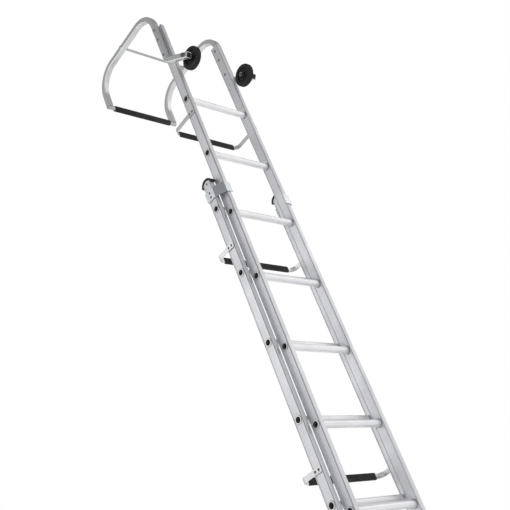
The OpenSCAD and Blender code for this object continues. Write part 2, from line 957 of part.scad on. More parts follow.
on_side(LEFT) wheel_tyre();  // wheel_tyre_left
on_side(RIGHT) wheel_tyre();  // wheel_tyre_right
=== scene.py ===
"""Roof ladder: finishes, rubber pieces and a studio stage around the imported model."""

import math
from typing import NamedTuple

import bmesh
import bpy
from bpy.props import FloatProperty, FloatVectorProperty, IntProperty, PointerProperty
from mathutils import Matrix, Vector


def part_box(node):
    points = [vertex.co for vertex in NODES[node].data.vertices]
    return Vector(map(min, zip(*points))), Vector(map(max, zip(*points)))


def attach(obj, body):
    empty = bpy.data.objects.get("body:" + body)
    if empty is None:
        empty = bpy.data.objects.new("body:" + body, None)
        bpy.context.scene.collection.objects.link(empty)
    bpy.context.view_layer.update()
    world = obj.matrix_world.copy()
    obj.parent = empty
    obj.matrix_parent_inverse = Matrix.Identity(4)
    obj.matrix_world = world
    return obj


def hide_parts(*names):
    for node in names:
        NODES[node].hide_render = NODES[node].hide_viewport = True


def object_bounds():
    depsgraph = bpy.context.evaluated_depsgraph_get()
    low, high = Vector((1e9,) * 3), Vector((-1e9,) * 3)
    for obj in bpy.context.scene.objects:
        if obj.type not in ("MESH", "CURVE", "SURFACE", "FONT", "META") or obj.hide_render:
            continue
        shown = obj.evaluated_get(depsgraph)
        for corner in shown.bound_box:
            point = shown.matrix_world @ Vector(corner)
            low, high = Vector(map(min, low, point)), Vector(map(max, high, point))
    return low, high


bl_info = {
    "name": "Roof Ladder",
    "version": (1, 0, 0),
    "blender": (4, 5, 0),
    "location": "3D View > Sidebar > Roof Ladder",
    "description": "Finishes, rubber pieces and a studio stage for the roof ladder",
    "category": "Object",
}

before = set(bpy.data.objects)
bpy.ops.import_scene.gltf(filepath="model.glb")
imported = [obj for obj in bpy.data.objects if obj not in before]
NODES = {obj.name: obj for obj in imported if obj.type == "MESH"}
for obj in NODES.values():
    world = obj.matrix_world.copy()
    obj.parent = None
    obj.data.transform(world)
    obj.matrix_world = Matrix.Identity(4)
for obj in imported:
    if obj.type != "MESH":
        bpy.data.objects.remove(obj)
CAD_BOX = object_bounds()
MM = 0.001
WHITE = (1.0, 1.0, 1.0, 1.0)
SHARP_ANGLE = math.radians(40)
SENSOR_MM = 36

# Sockets of a Mix node, whose names are the same for numbers and for colours
MIX_SHARE = 0
NUMBER_A = 2
NUMBER_B = 3
COLOUR_A = 6
COLOUR_B = 7
COLOUR_OUT = 2


def linear(hex_colour):
    """An sRGB hex colour as linear red, green and blue."""
    parts = [int(hex_colour[i : i + 2], 16) / 255 for i in (1, 3, 5)]
    return tuple(p / 12.92 if p <= 0.04045 else ((p + 0.055) / 1.055) ** 2.4 for p in parts)


def shade(colour, factor):
    """A linear colour made lighter or darker, with full alpha."""
    return (*(min(1.0, c * factor) for c in colour), 1.0)


def colour_prop(label, hex_colour, words):
    """A colour that a user may change."""
    return FloatVectorProperty(
        name=label, description=words, subtype="COLOR", size=3, min=0, max=1, default=linear(hex_colour)
    )


def mm_prop(label, value, words):
    """A length that a user may change, with its default in millimetres."""
    return FloatProperty(
        name=label, description=words, subtype="DISTANCE", unit="LENGTH", min=0, default=value * MM
    )


def level_prop(label, value, words):
    """A brightness between black and white."""
    return FloatProperty(name=label, description=words, subtype="FACTOR", min=0, max=1, default=value)


def power_prop(label, value, words):
    """The power of a lamp in watts."""
    return FloatProperty(name=label, description=words, unit="POWER", min=0, default=value)


def place_prop(label, value, words):
    """A place in metres."""
    return FloatVectorProperty(
        name=label, description=words, subtype="TRANSLATION", unit="LENGTH", default=value
    )


def way_prop(label, value, words):
    """A direction."""
    return FloatVectorProperty(name=label, description=words, subtype="XYZ", default=value)


class LadderFinishes(bpy.types.PropertyGroup):
    """Colours of the ladder's materials"""

    stile: colour_prop("Stile", "#dedfe2", "Mill-finish extrusion of the stiles")
    rung: colour_prop("Rung", "#f4f4f6", "Bright fluted tube of the rungs")
    # Painted shade: the bore's dark grey stands for the shade inside the rungs
    bore: colour_prop("Rung bore", "#606062", "Dull inside of the rungs")
    tube: colour_prop("Hook tube", "#dcddde", "Drawn tube of the ridge hook")
    bar: colour_prop("Bar", "#bcbdbf", "Cross tie and foot bar of the ridge hook")
    strip: colour_prop("Pad strip", "#d8d8da", "Rolled strip of the roof pads")
    rivet: colour_prop("Rivet", "#77787b", "Dull steel of rivet heads and axle bolts")
    nut: colour_prop("Axle nut", "#b4b6b8", "Plated steel of the axle nuts")
    zinc: colour_prop("Zinc", "#d2d6d9", "Zinc-plated steel of brackets, jaws and tie bolts")
    plastic: colour_prop("Plastic", "#1e1e1f", "Moulded caps, plugs, spacers and wheel hubs")
    rubber: colour_prop("Rubber", "#242425", "Sleeves and feet")
    tyre: colour_prop("Tyre", "#222223", "Wheel tyres")
    dust: colour_prop("Dust", "#8a8a88", "Pale dust on black plastic and rubber")


class LadderSizes(bpy.types.PropertyGroup):
    """Sizes of the pieces made here"""

    rib_pitch: mm_prop("Rib pitch", 4.4, "Spacing of the ribs along a pad sleeve's broad faces")
    rib_depth: mm_prop("Rib depth", 0.5, "Depth of the grooves between a sleeve's ribs")
    sleeve_corner: mm_prop("Sleeve corner", 3.5, "Corner radius of a pad sleeve's section")
    sleeve_wall: mm_prop("Sleeve wall", 3.0, "Wall of a pad sleeve")
    foot_wall: mm_prop("Foot sleeve wall", 3.3, "Wall of the hook's foot sleeve")
    sleeve_round: mm_prop("Sleeve end round", 1.2, "Rounding of a sleeve's ends")
    foot_ribs: IntProperty(
        name="Foot sleeve ribs", description="Ribs round the hook's foot sleeve", default=18, min=6
    )
    tyre_groove: mm_prop("Tyre groove", 1.2, "Depth of the grooves round a tyre")


class LadderStage(bpy.types.PropertyGroup):
    """Camera, floor and light"""

    camera_place: place_prop("Camera place", (-2.1205, -1.9055, -2.7755), "Where the camera stands")
    camera_forward: way_prop("Camera forward", (0.6578, 0.5598, 0.5039), "Where the camera looks")
    camera_up: way_prop("Camera up", (-0.1134, -0.5878, 0.8011), "What is up in the picture")
    lens: FloatProperty(
        name="Lens", description="Focal length in millimetres", unit="CAMERA", default=61.98, min=1
    )
    floor: colour_prop("Floor", "#f8f8f8", "Pale studio floor")
    white_from: mm_prop("White from", 400, "Distance at which the floor begins to fade to white")
    white_to: mm_prop("White to", 4500, "Distance at which the floor is white")
    fill: FloatProperty(name="Fill", description="Strength of the room's soft light", default=0.8, min=0)
    front_power: power_prop("Front power", 17, "Power of the lamp at the front")
    front_place: place_prop("Front place", (3.0, -2.7, 0.5), "Where the front lamp hangs")
    front_size: mm_prop("Front size", 2800, "Width of the front lamp")
    rear_power: power_prop("Rear power", 11, "Power of the lamp at the rear")
    rear_place: place_prop("Rear place", (-2.6, 2.1, 0.0), "Where the rear lamp hangs")
    rear_size: mm_prop("Rear size", 2000, "Width of the rear lamp")
    lamp_aim: place_prop("Lamp aim", (0.0, -0.2, -1.4), "Point that both lamps shine at")
    dark_side: way_prop("Dark side", (-0.74, -0.44, 0.5), "Where the room's darker side is")
    dark_level: level_prop("Dark level", 0.5, "How bright the darker side looks in metal")
    ceiling_level: level_prop("Ceiling level", 0.32, "How bright the ceiling looks in metal")
    horizon_level: level_prop("Horizon level", 0.7, "How bright the lowest walls look in metal")


class PaintedShadingBand(NamedTuple):
    """A soft line along the stiles at one place in Y: painted shade if its depth is positive, else a painted
    highlight.
    """

    y: float
    half: float
    depth: float
    middle_x: float
    inner_share: float


def add(tree, kind, inputs=None, **settings):
    """Adds one node, with its settings, and its inputs as values or as links from other nodes' outputs."""
    made = tree.nodes.new(kind)
    for name, value in settings.items():
        setattr(made, name, value)
    for name, value in (inputs or {}).items():
        if isinstance(value, bpy.types.NodeSocket):
            tree.links.new(value, made.inputs[name])
        else:
            made.inputs[name].default_value = value
    return made


def start_material(name):
    """A new material with its tree, its shader and the object's coordinates in metres."""
    material = bpy.data.materials.new(name)
    material.use_nodes = True
    tree = material.node_tree
    shader = tree.nodes["Principled BSDF"]
    place = add(tree, "ShaderNodeTexCoord").outputs["Object"]
    return material, tree, shader, place


def per_mm(size):
    """How often a pattern of that size in millimetres repeats in a metre."""
    return 1 / (size * MM)


def with_painted_band(tree, place, base, band):
    """A base colour with a painted line of shade or highlight laid over it, weaker on the inner half of each
    stile.
    """
    x, y, _ = add(tree, "ShaderNodeSeparateXYZ", {0: place}).outputs
    off = add(tree, "ShaderNodeMath", {0: y, 1: band.y}, operation="SUBTRACT")
    off = add(tree, "ShaderNodeMath", {0: off.outputs[0]}, operation="ABSOLUTE")
    keep = add(
        tree, "ShaderNodeMapRange",
        {"Value": off.outputs[0], "From Max": band.half, "To Min": 1 - band.depth, "To Max": 1.0},
        interpolation_type="SMOOTHSTEP",
    )
    aside = add(tree, "ShaderNodeMath", {0: x}, operation="ABSOLUTE")
    share = add(
        tree, "ShaderNodeMapRange",
        {
            "Value": aside.outputs[0],
            "From Min": band.middle_x - MM,
            "From Max": band.middle_x,
            "To Min": band.inner_share,
            "To Max": 1.0,
        },
    )
    laid = add(
        tree, "ShaderNodeMix",
        {MIX_SHARE: share.outputs[0], COLOUR_A: base, COLOUR_B: keep.outputs[0]},
        data_type="RGBA", blend_type="MULTIPLY",
    )
    return laid.outputs[COLOUR_OUT]


def drawn_aluminium(name, colour, across, rough, painted_bands=()):
    """Mill-finish aluminium, extruded or drawn: fine lines along its length and a cloudy oxide, half dull."""
    material, tree, shader, place = start_material(name)
    # Die lines are about 0.3 mm apart; they are drawn at 2.5 mm so that they show at this distance
    line_mm = 2.5
    run_mm = 900
    cloud_mm = 140
    scale = [per_mm(line_mm) if axis in across else per_mm(run_mm) for axis in "XYZ"]
    stretched = add(tree, "ShaderNodeMapping", {"Vector": place, "Scale": scale}).outputs[0]
    lines = add(tree, "ShaderNodeTexNoise", {"Vector": stretched, "Scale": 1.0, "Detail": 3.0})
    cloud = add(tree, "ShaderNodeTexNoise", {"Vector": place, "Scale": per_mm(cloud_mm), "Detail": 4.0})
    both = add(
        tree, "ShaderNodeMath", {0: lines.outputs["Fac"], 1: cloud.outputs["Fac"]}, operation="ADD"
    )
    # Each noise lies about a half, and their sum about one
    tone = add(
        tree, "ShaderNodeMapRange", {"Value": both.outputs[0], "From Min": 0.6, "From Max": 1.4}
    ).outputs[0]
    dark = shade(colour, 0.86)
    light = shade(colour, 1.1)
    base = add(
        tree, "ShaderNodeMix", {MIX_SHARE: tone, COLOUR_A: dark, COLOUR_B: light}, data_type="RGBA"
    ).outputs[COLOUR_OUT]
    # Painted shade and highlight lines laid over the finish, where given
    for band in painted_bands:
        base = with_painted_band(tree, place, base, band)
    tree.links.new(base, shader.inputs["Base Color"])
    shader.inputs["Metallic"].default_value = 1.0
    # The darker, more oxidised places are the duller ones
    spread = add(
        tree, "ShaderNodeMapRange", {"Value": tone, "To Min": rough + 0.07, "To Max": rough - 0.05}
    )
    tree.links.new(spread.outputs[0], shader.inputs["Roughness"])
    bump = add(
        tree, "ShaderNodeBump", {"Height": lines.outputs["Fac"], "Strength": 0.04, "Distance": 0.2 * MM}
    )
    tree.links.new(bump.outputs[0], shader.inputs["Normal"])
    return material


def fluted_rung(name, colour, bore_shade_colour):
    """Bright fluted aluminium tube: polished by feet on the outside, dull in the bore, with painted shade in
    the bore and round the lip.
    """
    material, tree, shader, place = start_material(name)
    wear_mm = 60
    line_mm = 2
    run_mm = 400
    wear = add(tree, "ShaderNodeTexNoise", {"Vector": place, "Scale": per_mm(wear_mm), "Detail": 4.0})
    scale = (per_mm(run_mm), per_mm(line_mm), per_mm(line_mm))
    stretched = add(tree, "ShaderNodeMapping", {"Vector": place, "Scale": scale}).outputs[0]
    lines = add(tree, "ShaderNodeTexNoise", {"Vector": stretched, "Scale": 1.0, "Detail": 2.0})
    worn = shade(colour, 0.9)
    polished = shade(colour, 1.08)
    tone = add(
        tree, "ShaderNodeMix",
        {MIX_SHARE: wear.outputs["Fac"], COLOUR_A: worn, COLOUR_B: polished},
        data_type="RGBA",
    ).outputs[COLOUR_OUT]
    # Painted shade: the bore's dark grey stands for the shade inside the tube; it also darkens the lip
    dull = shade(bore_shade_colour, 1)
    # The rung's own box, as wide as its lip, gives the distance from its axis in millimetres
    lip_mm = 30
    bore_mm = 20
    own = add(tree, "ShaderNodeTexCoord").outputs["Generated"]
    centred = add(tree, "ShaderNodeVectorMath", {0: own, 1: (0.5, 0.5, 0.5)}, operation="SUBTRACT")
    flat = add(
        tree, "ShaderNodeVectorMath", {0: centred.outputs[0], 1: (0.0, lip_mm, lip_mm)},
        operation="MULTIPLY",
    )
    radius = add(tree, "ShaderNodeVectorMath", {0: flat.outputs[0]}, operation="LENGTH").outputs["Value"]
    wall_from = bore_mm / 2 + 0.1
    wall_to = bore_mm / 2 + 0.6
    outside = add(
        tree, "ShaderNodeMapRange", {"Value": radius, "From Min": wall_from, "From Max": wall_to}
    ).outputs[0]
    # Painted shade: the swaged lip and bead and the cut ends, all off the tube's own skin, are darkened
    # towards the bore's grey
    skin_mm = 24.3
    skin_half_mm = 0.6
    painted_lip_shade = 0.6
    off = add(tree, "ShaderNodeMath", {0: radius, 1: skin_mm / 2}, operation="SUBTRACT")
    off = add(tree, "ShaderNodeMath", {0: off.outputs[0]}, operation="ABSOLUTE")
    swaged = add(
        tree, "ShaderNodeMapRange",
        {
            "Value": off.outputs[0],
            "From Min": skin_half_mm,
            "From Max": 1.5 * skin_half_mm,
            "To Max": painted_lip_shade,
        },
    ).outputs[0]
    skin = add(
        tree, "ShaderNodeMix", {MIX_SHARE: swaged, COLOUR_A: tone, COLOUR_B: dull}, data_type="RGBA"
    ).outputs[COLOUR_OUT]
    base = add(
        tree, "ShaderNodeMix", {MIX_SHARE: outside, COLOUR_A: dull, COLOUR_B: skin}, data_type="RGBA"
    ).outputs[COLOUR_OUT]
    tree.links.new(base, shader.inputs["Base Color"])
    tree.links.new(outside, shader.inputs["Metallic"])
    rough = add(
        tree, "ShaderNodeMapRange", {"Value": wear.outputs["Fac"], "To Min": 0.52, "To Max": 0.42}
    )
    tree.links.new(rough.outputs[0], shader.inputs["Roughness"])
    bump = add(
        tree, "ShaderNodeBump", {"Height": lines.outputs["Fac"], "Strength": 0.03, "Distance": 0.2 * MM}
    )
    tree.links.new(bump.outputs[0], shader.inputs["Normal"])
    return material


def zinc_plate(name, colour):
    """Zinc-plated steel: a faint green-grey bloom over small crystals, dull satin."""
    material, tree, shader, place = start_material(name)
    # Crystals of about 1 mm are drawn at 5 mm so that they show at this distance
    crystal_mm = 5
    bloom_mm = 30
    bloom_share = 0.6
    crystal = add(tree, "ShaderNodeTexVoronoi", {"Vector": place, "Scale": per_mm(crystal_mm)})
    bloom = add(tree, "ShaderNodeTexNoise", {"Vector": place, "Scale": per_mm(bloom_mm), "Detail": 5.0})
    grain = add(tree, "ShaderNodeSeparateColor", {0: crystal.outputs["Color"]})
    both = add(
        tree, "ShaderNodeMix",
        {MIX_SHARE: bloom_share, NUMBER_A: grain.outputs[0], NUMBER_B: bloom.outputs["Fac"]},
        data_type="FLOAT",
    ).outputs[0]
    dark = shade(colour, 0.84)
    light = shade(colour, 1.12)
    base = add(
        tree, "ShaderNodeMix", {MIX_SHARE: both, COLOUR_A: dark, COLOUR_B: light}, data_type="RGBA"
    ).outputs[COLOUR_OUT]
    tree.links.new(base, shader.inputs["Base Color"])
    shader.inputs["Metallic"].default_value = 1.0
    rough = add(tree, "ShaderNodeMapRange", {"Value": both, "To Min": 0.36, "To Max": 0.26})
    tree.links.new(rough.outputs[0], shader.inputs["Roughness"])
    return material


def black_compound(name, colour, dust_colour, rough, grain_mm, dust):
    """Black plastic or rubber: a fine moulded grain, with a pale dust in patches."""
    material, tree, shader, place = start_material(name)
    patch_mm = 45
    grain = add(tree, "ShaderNodeTexNoise", {"Vector": place, "Scale": per_mm(grain_mm), "Detail": 2.0})
    patch = add(tree, "ShaderNodeTexNoise", {"Vector": place, "Scale": per_mm(patch_mm), "Detail": 6.0})
    dusty = add(
        tree, "ShaderNodeMapRange",
        {"Value": patch.outputs["Fac"], "From Min": 0.45, "From Max": 0.75, "To Max": dust},
    )
    base = add(
        tree, "ShaderNodeMix",
        {MIX_SHARE: dusty.outputs[0], COLOUR_A: shade(colour, 1), COLOUR_B: shade(dust_colour, 1)},
        data_type="RGBA",
    ).outputs[COLOUR_OUT]
    tree.links.new(base, shader.inputs["Base Color"])
    spread = add(
        tree, "ShaderNodeMapRange",
        {"Value": patch.outputs["Fac"], "To Min": rough - 0.08, "To Max": rough + 0.1},
    )
    tree.links.new(spread.outputs[0], shader.inputs["Roughness"])
    shader.inputs["Specular IOR Level"].default_value = 0.25
    bump = add(
        tree, "ShaderNodeBump", {"Height": grain.outputs["Fac"], "Strength": 0.25, "Distance": 0.15 * MM}
    )
    tree.links.new(bump.outputs[0], shader.inputs["Normal"])
    return material


def dress(material, *names):
    """Gives each CAD node that material."""
    if not names:
        raise ValueError(f"no node takes {material.name}")
    for name in names:
        slots = NODES[name].data.materials
        slots.clear()
        slots.append(material)


def on_both(stem):
    """The names of a node's left and right one."""
    return f"{stem}_left", f"{stem}_right"


def numbered(stem):
    """The names of all nodes that begin with a stem."""
    return [name for name in NODES if name.startswith(stem)]


def as_piece(name, skin, material):
    """A finished skin as an object of the scene, smooth but for its sharp edges."""
    mesh = bpy.data.meshes.new(name)
    skin.to_mesh(mesh)
    skin.free()
    mesh.shade_smooth()
    mesh.set_sharp_from_angle(angle=SHARP_ANGLE)
    mesh.materials.append(material)
    piece = bpy.data.objects.new(name, mesh)
    bpy.context.scene.collection.objects.link(piece)
    return piece


def loop_of_rings(name, rings, material):
    """A closed skin over rings of points, each joined to the next and the last to the first."""
    skin = bmesh.new()
    made = [[skin.verts.new(point) for point in ring] for ring in rings]
    for here, there in zip(made, made[1:] + made[:1]):
        for i in range(len(here)):
            j = (i + 1) % len(here)
            skin.faces.new((here[i], here[j], there[j], there[i]))
    bmesh.ops.recalc_face_normals(skin, faces=skin.faces)
    return as_piece(name, skin, material)


def pad_outline(width, height, radius, ribs=0, groove=0.0, corner_steps=6, rib_steps=8):
    """Points round a flat sleeve's section in Y and Z, ribbed along its two broad faces."""
    points = []
    half_y = width / 2
    flat_y = half_y - radius
    flat_z = height / 2 - radius
    steps = max(ribs, 1) * rib_steps
    for turn, (side_y, side_z) in enumerate(((1, 1), (-1, 1), (-1, -1), (1, -1))):
        for i in range(corner_steps + 1):
            angle = math.radians(90 * (turn + i / corner_steps))
            y = side_y * flat_y + radius * math.cos(angle)
            z = side_z * flat_z + radius * math.sin(angle)
            points.append((y, z))
        if side_y * side_z < 0:
            for i in range(1, steps):
                share = i / steps
                dip = groove * (1 - math.cos(2 * math.pi * share * ribs)) / 2
                points.append((side_y * (half_y - dip), side_z * flat_z * (1 - 2 * share)))
    return points


def round_outline(diameter, ribs, groove=0.0, rib_steps=8):
    """Points round a round sleeve's section in Y and Z, ribbed all round."""
    points = []
    for i in range(ribs * rib_steps):
        angle = 2 * math.pi * i / (ribs * rib_steps)
        radius = diameter / 2 - groove * (1 + math.cos(angle * ribs)) / 2
        points.append((radius * math.cos(angle), radius * math.sin(angle)))
    return points


def sleeve_piece(name, node, outer, hole, end_round, material):
    """A sleeve along X in a node's place: a ribbed skin with rounded ends, and the hole for its bar."""
    low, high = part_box(node)
    centre = (low + high) / 2
    half_l = (high.x - low.x) / 2
    size_y = high.y - low.y
    size_z = high.z - low.z
    round_steps = 5

    def ring(x, outline, inset=0.0):
        shrink_y = 1 - 2 * inset / size_y
        shrink_z = 1 - 2 * inset / size_z
        return [centre + Vector((x, y * shrink_y, z * shrink_z)) for y, z in outline]

    ends = []
    for i in range(round_steps + 1):
        angle = math.radians(90 * i / round_steps)
        ends.append((half_l - end_round * (1 - math.sin(angle)), end_round * (1 - math.cos(angle))))
    rings = [ring(-half_l, hole)]
    rings += [ring(-x, outer, inset) for x, inset in reversed(ends)]
    rings += [ring(x, outer, inset) for x, inset in ends]
    rings += [ring(half_l, hole)]
    return loop_of_rings(name, rings, material)


def tyre_piece(name, side, groove, material):
    """A tyre turned about its axle: rounded shoulders, two grooves round the tread and a stepped side."""
    low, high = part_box(f"wheel_tyre_{side}")
    hub_low, hub_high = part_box(f"wheel_hub_{side}")
    centre = (low + high) / 2
    half_w = (high.x - low.x) / 2
    outer = (high.z - low.z) / 2
    hub_gap = 0.2 * MM
    inner = (hub_high.z - hub_low.z) / 2 + hub_gap
    shoulder = 0.45 * half_w
    step = 0.06 * half_w
    groove_from = 0.22 * half_w
    groove_to = groove_from + 0.16 * half_w
    wall_r = inner + 0.35 * (outer - inner)
    shoulder_steps = 8
    turns = 96
    half = [(0, outer), (groove_from, outer), (groove_from + step, outer - groove)]
    half += [(groove_to, outer - groove), (groove_to + step, outer)]
    for i in range(shoulder_steps + 1):
        angle = math.radians(90 * i / shoulder_steps)
        x = half_w - step - shoulder * (1 - math.sin(angle))
        half.append((x, outer - shoulder * (1 - math.cos(angle))))
    half += [(half_w - step, wall_r + step), (half_w, wall_r)]
    half += [(half_w, inner + step), (half_w - step, inner)]
    profile = half + [(-x, r) for x, r in reversed(half[1:])]
    rings = []
    for i in range(turns):
        angle = 2 * math.pi * i / turns
        spoke = [Vector((x, r * math.cos(angle), r * math.sin(angle))) for x, r in profile]
        rings.append([centre + point for point in spoke])
    return loop_of_rings(name, rings, material)


class LADDER_OT_stiles(bpy.types.Operator):
    """Gives the stiles their mill finish, with painted shade and highlight lines"""

    bl_idname = "roof_ladder.stiles"
    bl_label = "Stiles"

    def execute(self, context):
        finish = context.scene.ladder_finishes
        for section in ("fly", "base"):
            low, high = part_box(f"{section}_stile_left")
            middle_x = abs(low.x + high.x) / 2
            # Painted shade: a dark line along the corner behind the front face, most of all on the outside
            painted_bands = [PaintedShadingBand(low.y + 2.9 * MM, half=2.3 * MM, depth=0.6, middle_x=middle_x, inner_share=0.4)]
            if section == "base":
                # Painted highlight: the front face, in the shade of the fly beside it, is painted brighter
                painted_bands.append(PaintedShadingBand(low.y, half=0.9 * MM, depth=-0.2, middle_x=middle_x, inner_share=1.0))
            name = f"mill_aluminium_{section}_stile"
            metal = drawn_aluminium(name, finish.stile, across="XY", rough=0.53, painted_bands=painted_bands)
            dress(metal, *on_both(f"{section}_stile"))
        return {"FINISHED"}


class LADDER_OT_rungs(bpy.types.Operator):
    """Gives the rungs their bright fluted finish"""

    bl_idname = "roof_ladder.rungs"
    bl_label = "Rungs"

    def execute(self, context):
        finish = context.scene.ladder_finishes
        metal = fluted_rung("bright_aluminium_rung", finish.rung, finish.bore)
        dress(metal, *numbered("fly_rung_"), *numbered("base_rung_"))
        return {"FINISHED"}


class LADDER_OT_hook(bpy.types.Operator):
    """Gives the ridge hook's tubes and bars their drawn finish"""

    bl_idname = "roof_ladder.hook"
    bl_label = "Ridge hook"

    def execute(self, context):
        finish = context.scene.ladder_finishes
        tube = drawn_aluminium("drawn_aluminium_tube", finish.tube, across="X", rough=0.34)
        dress(tube, *on_both("hook_tube"))
        bar = drawn_aluminium("drawn_aluminium_bar", finish.bar, across="YZ", rough=0.4)
        dress(bar, "hook_tie", "hook_foot_bar")
        return {"FINISHED"}


class LADDER_OT_pad_strips(bpy.types.Operator):
    """Gives the roof pads' strips their rolled finish"""

    bl_idname = "roof_ladder.pad_strips"
    bl_label = "Pad strips"

    def execute(self, context):
        finish = context.scene.ladder_finishes
        metal = drawn_aluminium("rolled_aluminium_strip", finish.strip, across="Z", rough=0.38)
        dress(metal, "fly_pad_bar", "base_pad_bar_upper", "base_pad_bar_lower")
        return {"FINISHED"}


class LADDER_OT_steelwork(bpy.types.Operator):
    """Gives the brackets, jaws, bolts and nuts their zinc plate, and the rivets their grey"""

    bl_idname = "roof_ladder.steelwork"
    bl_label = "Steelwork and rivets"

    def execute(self, context):
        finish = context.scene.ladder_finishes
        zinc = zinc_plate("zinc_plated_steel", finish.zinc)
        dress(zinc, *on_both("guide_bracket"), *on_both("rung_jaw"), "hook_tie_bolts")
        dull = zinc_plate("dull_plated_steel", finish.rivet)
        dress(dull, *[name for name in NODES if name.endswith("_rivets")], "axle_bolts")
        dress(zinc_plate("plated_steel_nut", finish.nut), "axle_nuts")
        return {"FINISHED"}


class LADDER_OT_mouldings(bpy.types.Operator):
    """Gives the caps, plugs, spacers, hubs and feet their black grain"""

    bl_idname = "roof_ladder.mouldings"
    bl_label = "Mouldings"

    def execute(self, context):
        finish = context.scene.ladder_finishes
        plastic = black_compound(
            "moulded_black_polypropylene", finish.plastic, finish.dust, rough=0.5, grain_mm=1.6, dust=0.06
        )
        dress(plastic, *on_both("base_top_cap"), *on_both("fly_end_cap"), *on_both("wheel_hub"))
        dress(plastic, "arm_plugs", "axle_spacers")
        rubber = black_compound(
            "moulded_black_rubber_foot", finish.rubber, finish.dust, rough=0.72, grain_mm=2.0, dust=0.14
        )
        dress(rubber, *on_both("base_foot"))
        return {"FINISHED"}


class LADDER_OT_sleeves(bpy.types.Operator):
    """Makes the ribbed rubber sleeves of the roof pads and of the hook's foot"""

    bl_idname = "roof_ladder.sleeves"
    bl_label = "Sleeves"

    def execute(self, context):
        finish = context.scene.ladder_finishes
        sizes = context.scene.ladder_sizes
        rubber = black_compound(
            "moulded_black_rubber", finish.rubber, finish.dust, rough=0.62, grain_mm=2.0, dust=0.1
        )
        for node, body in (
            ("fly_pad_sleeve", "fly"),
            ("base_pad_sleeve_upper", "base"),
            ("base_pad_sleeve_lower", "base"),
        ):
            low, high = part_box(node)
            width = high.y - low.y
            height = high.z - low.z
            corner = sizes.sleeve_corner
            hole_corner = corner / 8
            walls = 2 * sizes.sleeve_wall
            ribs = round((height - 2 * corner) / sizes.rib_pitch)
            outer = pad_outline(width, height, corner, ribs, sizes.rib_depth)
            hole = pad_outline(width - walls, height - walls, hole_corner, ribs)
            self.place(f"{node}_rubber", node, body, outer, hole, sizes.sleeve_round, rubber)
        node = "hook_foot_sleeve"
        low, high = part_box(node)
        width = high.y - low.y
        outer = round_outline(width, sizes.foot_ribs, sizes.rib_depth)
        hole = round_outline(width - 2 * sizes.foot_wall, sizes.foot_ribs)
        self.place(f"{node}_rubber", node, "fly", outer, hole, sizes.sleeve_round, rubber)
        return {"FINISHED"}

    def place(self, name, node, body, outer, hole, end_round, rubber):
        """Makes one sleeve, which stands for its node and rides with it."""
        piece = sleeve_piece(name, node, outer, hole, end_round, rubber)
        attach(piece, body)
        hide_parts(node)


class LADDER_OT_tyres(bpy.types.Operator):
    """Makes the grooved tyres"""

    bl_idname = "roof_ladder.tyres"
    bl_label = "Tyres"

    def execute(self, context):
        finish = context.scene.ladder_finishes
        groove = context.scene.ladder_sizes.tyre_groove
        rubber = black_compound(
            "solid_tyre_rubber", finish.tyre, finish.dust, rough=0.6, grain_mm=2.0, dust=0.08
        )
        for side in ("left", "right"):
            piece = tyre_piece(f"tyre_{side}", side, groove, rubber)
            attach(piece, f"wheel_{side}")
            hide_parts(f"wheel_tyre_{side}")
        return {"FINISHED"}


